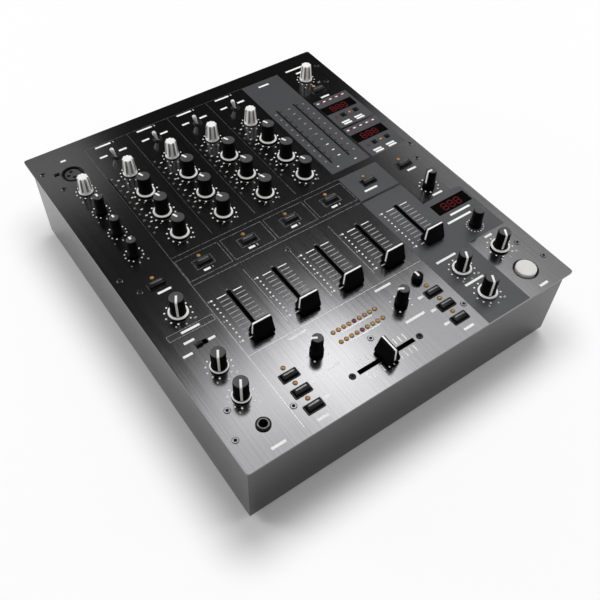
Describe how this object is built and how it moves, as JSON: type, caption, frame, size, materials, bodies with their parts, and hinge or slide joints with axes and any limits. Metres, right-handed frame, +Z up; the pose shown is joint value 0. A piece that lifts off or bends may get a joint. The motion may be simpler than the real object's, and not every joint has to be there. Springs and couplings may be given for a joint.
{
  "type": "dj mixer",
  "caption": "Tabletop audio mixing console with rotary knobs, channel faders, a crossfader, push buttons, toggles, displays and rear sockets.",
  "frame": {"origin": "centre of the footprint, on the surface that the feet stand on", "axes": "+X to the user's right, +Y from the user to the rear sockets, +Z up"},
  "size_m": [0.32, 0.376, 0.1045],
  "materials": {
    "panel_metal": "brushed, dark anodised",
    "case_paint": "fine textured paint",
    "foot_rubber": "matte",
    "board_laminate": "solder mask",
    "supply_parts": "mixed electronic parts",
    "control_plastic": "moulded",
    "bezel_plastic": "satin moulded",
    "display_window": "dark tinted window",
    "lens_amber": "diffused lens",
    "socket_black": "moulded",
    "knob_black": "soft-touch moulded",
    "knob_white": "moulded",
    "fader_black": "moulded",
    "button_black": "satin moulded",
    "effect_white": "smooth",
    "lever_chrome": "polished",
    "switch_black": "moulded"
  },
  "bodies": {
    "case": {"base_chassis": "case_paint", "top_panel": "panel_metal", "rubber_feet": "foot_rubber", "circuit_boards": "board_laminate", "power_supply": "supply_parts", "control_bodies": "control_plastic", "button_bezels": "bezel_plastic", "display_modules": "display_window", "indicator_leds": "lens_amber", "sockets": "socket_black"},
    "mic_level_knob": {"mic_level_knob": "knob_white"},
    "mic_high_knob": {"mic_high_knob": "knob_black"},
    "mic_mid_knob": {"mic_mid_knob": "knob_black"},
    "mic_low_knob": {"mic_low_knob": "knob_black"},
    "channel_1_trim_knob": {"channel_1_trim_knob": "knob_white"},
    "channel_1_high_knob": {"channel_1_high_knob": "knob_black"},
    "channel_1_mid_knob": {"channel_1_mid_knob": "knob_black"},
    "channel_1_low_knob": {"channel_1_low_knob": "knob_black"},
    "channel_2_trim_knob": {"channel_2_trim_knob": "knob_white"},
    "channel_2_high_knob": {"channel_2_high_knob": "knob_black"},
    "channel_2_mid_knob": {"channel_2_mid_knob": "knob_black"},
    "channel_2_low_knob": {"channel_2_low_knob": "knob_black"},
    "channel_3_trim_knob": {"channel_3_trim_knob": "knob_white"},
    "channel_3_high_knob": {"channel_3_high_knob": "knob_black"},
    "channel_3_mid_knob": {"channel_3_mid_knob": "knob_black"},
    "channel_3_low_knob": {"channel_3_low_knob": "knob_black"},
    "channel_4_trim_knob": {"channel_4_trim_knob": "knob_white"},
    "channel_4_high_knob": {"channel_4_high_knob": "knob_black"},
    "channel_4_mid_knob": {"channel_4_mid_knob": "knob_black"},
    "channel_4_low_knob": {"channel_4_low_knob": "knob_black"},
    "surround_knob": {"surround_knob": "knob_white"},
    "monitor_knob": {"monitor_knob": "knob_black"},
    "phones_mix_knob": {"phones_mix_knob": "knob_black"},
    "phones_level_knob": {"phones_level_knob": "knob_black"},
    "effect_select_knob": {"effect_select_knob": "knob_black"},
    "effect_value_knob": {"effect_value_knob": "knob_black"},
    "effect_depth_knob": {"effect_depth_knob": "knob_black"},
    "effect_parameter_knob": {"effect_parameter_knob": "knob_black"},
    "effect_mix_knob": {"effect_mix_knob": "knob_black"},
    "assign_a_knob": {"assign_a_knob": "knob_black"},
    "assign_b_knob": {"assign_b_knob": "knob_black"},
    "curve_knob": {"curve_knob": "knob_black"},
    "channel_1_fader": {"channel_1_fader": "fader_black"},
    "channel_2_fader": {"channel_2_fader": "fader_black"},
    "channel_3_fader": {"channel_3_fader": "fader_black"},
    "channel_4_fader": {"channel_4_fader": "fader_black"},
    "master_fader": {"master_fader": "fader_black"},
    "crossfader": {"crossfader": "fader_black"},
    "cue_buttons": {"cue_buttons": "button_black"},
    "kill_buttons_a": {"kill_buttons_a": "button_black"},
    "kill_buttons_b": {"kill_buttons_b": "button_black"},
    "surround_button": {"surround_button": "button_black"},
    "effect_button": {"effect_button": "effect_white"},
    "tempo_buttons": {"tempo_buttons": "switch_black"},
    "channel_1_toggle": {"channel_1_toggle": "lever_chrome"},
    "channel_2_toggle": {"channel_2_toggle": "lever_chrome"},
    "channel_3_toggle": {"channel_3_toggle": "lever_chrome"},
    "channel_4_toggle": {"channel_4_toggle": "lever_chrome"},
    "phones_mode_switch": {"phones_mode_switch": "switch_black"},
    "power_rocker": {"power_rocker": "switch_black"}
  },
  "joints": [
    {"name": "mic_level_knob_turn", "type": "hinge", "parent": "case", "child": "mic_level_knob", "pos_m": [-0.1299, 0.1203, 0.085], "axis": [0, 0, 1], "range_deg": [-150, 150]},
    {"name": "mic_high_knob_turn", "type": "hinge", "parent": "case", "child": "mic_high_knob", "pos_m": [-0.1299, 0.0903, 0.085], "axis": [0, 0, 1], "range_deg": [-150, 150]},
    {"name": "mic_mid_knob_turn", "type": "hinge", "parent": "case", "child": "mic_mid_knob", "pos_m": [-0.1299, 0.0603, 0.085], "axis": [0, 0, 1], "range_deg": [-150, 150]},
    {"name": "mic_low_knob_turn", "type": "hinge", "parent": "case", "child": "mic_low_knob", "pos_m": [-0.1299, 0.0303, 0.085], "axis": [0, 0, 1], "range_deg": [-150, 150]},
    {"name": "channel_1_trim_knob_turn", "type": "hinge", "parent": "case", "child": "channel_1_trim_knob", "pos_m": [-0.0866, 0.1203, 0.085], "axis": [0, 0, 1], "range_deg": [-150, 150]},
    {"name": "channel_1_high_knob_turn", "type": "hinge", "parent": "case", "child": "channel_1_high_knob", "pos_m": [-0.0866, 0.0903, 0.085], "axis": [0, 0, 1], "range_deg": [-170, 130]},
    {"name": "channel_1_mid_knob_turn", "type": "hinge", "parent": "case", "child": "channel_1_mid_knob", "pos_m": [-0.0866, 0.0603, 0.085], "axis": [0, 0, 1], "range_deg": [-170, 130]},
    {"name": "channel_1_low_knob_turn", "type": "hinge", "parent": "case", "child": "channel_1_low_knob", "pos_m": [-0.0866, 0.0303, 0.085], "axis": [0, 0, 1], "range_deg": [-170, 130]},
    {"name": "channel_2_trim_knob_turn", "type": "hinge", "parent": "case", "child": "channel_2_trim_knob", "pos_m": [-0.0433, 0.1203, 0.085], "axis": [0, 0, 1], "range_deg": [-150, 150]},
    {"name": "channel_2_high_knob_turn", "type": "hinge", "parent": "case", "child": "channel_2_high_knob", "pos_m": [-0.0433, 0.0903, 0.085], "axis": [0, 0, 1], "range_deg": [-170, 130]},
    {"name": "channel_2_mid_knob_turn", "type": "hinge", "parent": "case", "child": "channel_2_mid_knob", "pos_m": [-0.0433, 0.0603, 0.085], "axis": [0, 0, 1], "range_deg": [-170, 130]},
    {"name": "channel_2_low_knob_turn", "type": "hinge", "parent": "case", "child": "channel_2_low_knob", "pos_m": [-0.0433, 0.0303, 0.085], "axis": [0, 0, 1], "range_deg": [-170, 130]},
    {"name": "channel_3_trim_knob_turn", "type": "hinge", "parent": "case", "child": "channel_3_trim_knob", "pos_m": [0, 0.1203, 0.085], "axis": [0, 0, 1], "range_deg": [-150, 150]},
    {"name": "channel_3_high_knob_turn", "type": "hinge", "parent": "case", "child": "channel_3_high_knob", "pos_m": [0, 0.0903, 0.085], "axis": [0, 0, 1], "range_deg": [-170, 130]},
    {"name": "channel_3_mid_knob_turn", "type": "hinge", "parent": "case", "child": "channel_3_mid_knob", "pos_m": [0, 0.0603, 0.085], "axis": [0, 0, 1], "range_deg": [-170, 130]},
    {"name": "channel_3_low_knob_turn", "type": "hinge", "parent": "case", "child": "channel_3_low_knob", "pos_m": [0, 0.0303, 0.085], "axis": [0, 0, 1], "range_deg": [-170, 130]},
    {"name": "channel_4_trim_knob_turn", "type": "hinge", "parent": "case", "child": "channel_4_trim_knob", "pos_m": [0.0433, 0.1203, 0.085], "axis": [0, 0, 1], "range_deg": [-150, 150]},
    {"name": "channel_4_high_knob_turn", "type": "hinge", "parent": "case", "child": "channel_4_high_knob", "pos_m": [0.0433, 0.0903, 0.085], "axis": [0, 0, 1], "range_deg": [-170, 130]},
    {"name": "channel_4_mid_knob_turn", "type": "hinge", "parent": "case", "child": "channel_4_mid_knob", "pos_m": [0.0433, 0.0603, 0.085], "axis": [0, 0, 1], "range_deg": [-170, 130]},
    {"name": "channel_4_low_knob_turn", "type": "hinge", "parent": "case", "child": "channel_4_low_knob", "pos_m": [0.0433, 0.0303, 0.085], "axis": [0, 0, 1], "range_deg": [-170, 130]},
    {"name": "surround_knob_turn", "type": "hinge", "parent": "case", "child": "surround_knob", "pos_m": [0.1288, 0.148, 0.085], "axis": [0, 0, 1], "range_deg": [-150, 150]},
    {"name": "monitor_knob_turn", "type": "hinge", "parent": "case", "child": "monitor_knob", "pos_m": [-0.1299, -0.0432, 0.085], "axis": [0, 0, 1], "range_deg": [-300, 0]},
    {"name": "phones_mix_knob_turn", "type": "hinge", "parent": "case", "child": "phones_mix_knob", "pos_m": [-0.1299, -0.1036, 0.085], "axis": [0, 0, 1], "range_deg": [-300, 0]},
    {"name": "phones_level_knob_turn", "type": "hinge", "parent": "case", "child": "phones_level_knob", "pos_m": [-0.1299, -0.1338, 0.085], "axis": [0, 0, 1], "range_deg": [-300, 0]},
    {"name": "effect_select_knob_turn", "type": "hinge", "parent": "case", "child": "effect_select_knob", "pos_m": [0.1288, -0.0432, 0.085], "axis": [0, 0, 1], "range_deg": [-225, 45]},
    {"name": "effect_value_knob_turn", "type": "hinge", "parent": "case", "child": "effect_value_knob", "pos_m": [0.1288, -0.1036, 0.085], "axis": [0, 0, 1], "continuous": true},
    {"name": "effect_depth_knob_turn", "type": "hinge", "parent": "case", "child": "effect_depth_knob", "pos_m": [0.1288, -0.1338, 0.085], "axis": [0, 0, 1], "range_deg": [-300, 0]},
    {"name": "effect_parameter_knob_turn", "type": "hinge", "parent": "case", "child": "effect_parameter_knob", "pos_m": [0.0848, -0.1338, 0.085], "axis": [0, 0, 1], "range_deg": [-300, 0]},
    {"name": "effect_mix_knob_turn", "type": "hinge", "parent": "case", "child": "effect_mix_knob", "pos_m": [0.0848, -0.164, 0.085], "axis": [0, 0, 1], "range_deg": [-300, 0]},
    {"name": "assign_a_knob_turn", "type": "hinge", "parent": "case", "child": "assign_a_knob", "pos_m": [-0.06315, -0.1336, 0.085], "axis": [0, 0, 1], "range_deg": [-120, 0]},
    {"name": "assign_b_knob_turn", "type": "hinge", "parent": "case", "child": "assign_b_knob", "pos_m": [0.01985, -0.1336, 0.085], "axis": [0, 0, 1], "range_deg": [-120, 0]},
    {"name": "curve_knob_turn", "type": "hinge", "parent": "case", "child": "curve_knob", "pos_m": [0.04665, -0.122, 0.085], "axis": [0, 0, 1], "range_deg": [-140, 140]},
    {"name": "channel_1_fader_slide", "type": "slide", "parent": "case", "child": "channel_1_fader", "axis": [0, 1, 0], "range_m": [0, 0.045]},
    {"name": "channel_2_fader_slide", "type": "slide", "parent": "case", "child": "channel_2_fader", "axis": [0, 1, 0], "range_m": [0, 0.045]},
    {"name": "channel_3_fader_slide", "type": "slide", "parent": "case", "child": "channel_3_fader", "axis": [0, 1, 0], "range_m": [0, 0.045]},
    {"name": "channel_4_fader_slide", "type": "slide", "parent": "case", "child": "channel_4_fader", "axis": [0, 1, 0], "range_m": [0, 0.045]},
    {"name": "master_fader_slide", "type": "slide", "parent": "case", "child": "master_fader", "axis": [0, 1, 0], "range_m": [0, 0.045]},
    {"name": "crossfader_slide", "type": "slide", "parent": "case", "child": "crossfader", "axis": [1, 0, 0], "range_m": [-0.0225, 0.0225]},
    {"name": "channel_1_toggle_turn", "type": "hinge", "parent": "case", "child": "channel_1_toggle", "pos_m": [-0.0866, 0.148, 0.083], "axis": [0, 1, 0], "range_deg": [0, 30]},
    {"name": "channel_2_toggle_turn", "type": "hinge", "parent": "case", "child": "channel_2_toggle", "pos_m": [-0.0433, 0.148, 0.083], "axis": [0, 1, 0], "range_deg": [0, 30]},
    {"name": "channel_3_toggle_turn", "type": "hinge", "parent": "case", "child": "channel_3_toggle", "pos_m": [0, 0.148, 0.083], "axis": [0, 1, 0], "range_deg": [0, 30]},
    {"name": "channel_4_toggle_turn", "type": "hinge", "parent": "case", "child": "channel_4_toggle", "pos_m": [0.0433, 0.148, 0.083], "axis": [0, 1, 0], "range_deg": [0, 30]},
    {"name": "phones_mode_switch_slide", "type": "slide", "parent": "case", "child": "phones_mode_switch", "axis": [1, 0, 0], "range_m": [0, 0.004]},
    {"name": "cue_buttons_slide", "type": "slide", "parent": "case", "child": "cue_buttons", "axis": [0, 0, -1], "range_m": [0, 0.001], "stiffness_N_per_m": 400, "springref_m": -0.002},
    {"name": "kill_buttons_a_slide", "type": "slide", "parent": "case", "child": "kill_buttons_a", "axis": [0, 0, -1], "range_m": [0, 0.001], "stiffness_N_per_m": 400, "springref_m": -0.002},
    {"name": "kill_buttons_b_slide", "type": "slide", "parent": "case", "child": "kill_buttons_b", "axis": [0, 0, -1], "range_m": [0, 0.001], "stiffness_N_per_m": 400, "springref_m": -0.002},
    {"name": "surround_button_slide", "type": "slide", "parent": "case", "child": "surround_button", "axis": [0, 0, -1], "range_m": [0, 0.001], "stiffness_N_per_m": 400, "springref_m": -0.002},
    {"name": "effect_button_slide", "type": "slide", "parent": "case", "child": "effect_button", "axis": [0, 0, -1], "range_m": [0, 0.001], "stiffness_N_per_m": 400, "springref_m": -0.002},
    {"name": "tempo_buttons_slide", "type": "slide", "parent": "case", "child": "tempo_buttons", "axis": [0, 0, -1], "range_m": [0, 0.001], "stiffness_N_per_m": 400, "springref_m": -0.002},
    {"name": "power_rocker_turn", "type": "hinge", "parent": "case", "child": "power_rocker", "pos_m": [0.101, 0.174, 0.048], "axis": [1, 0, 0], "range_deg": [-16, 0]}
  ]
}
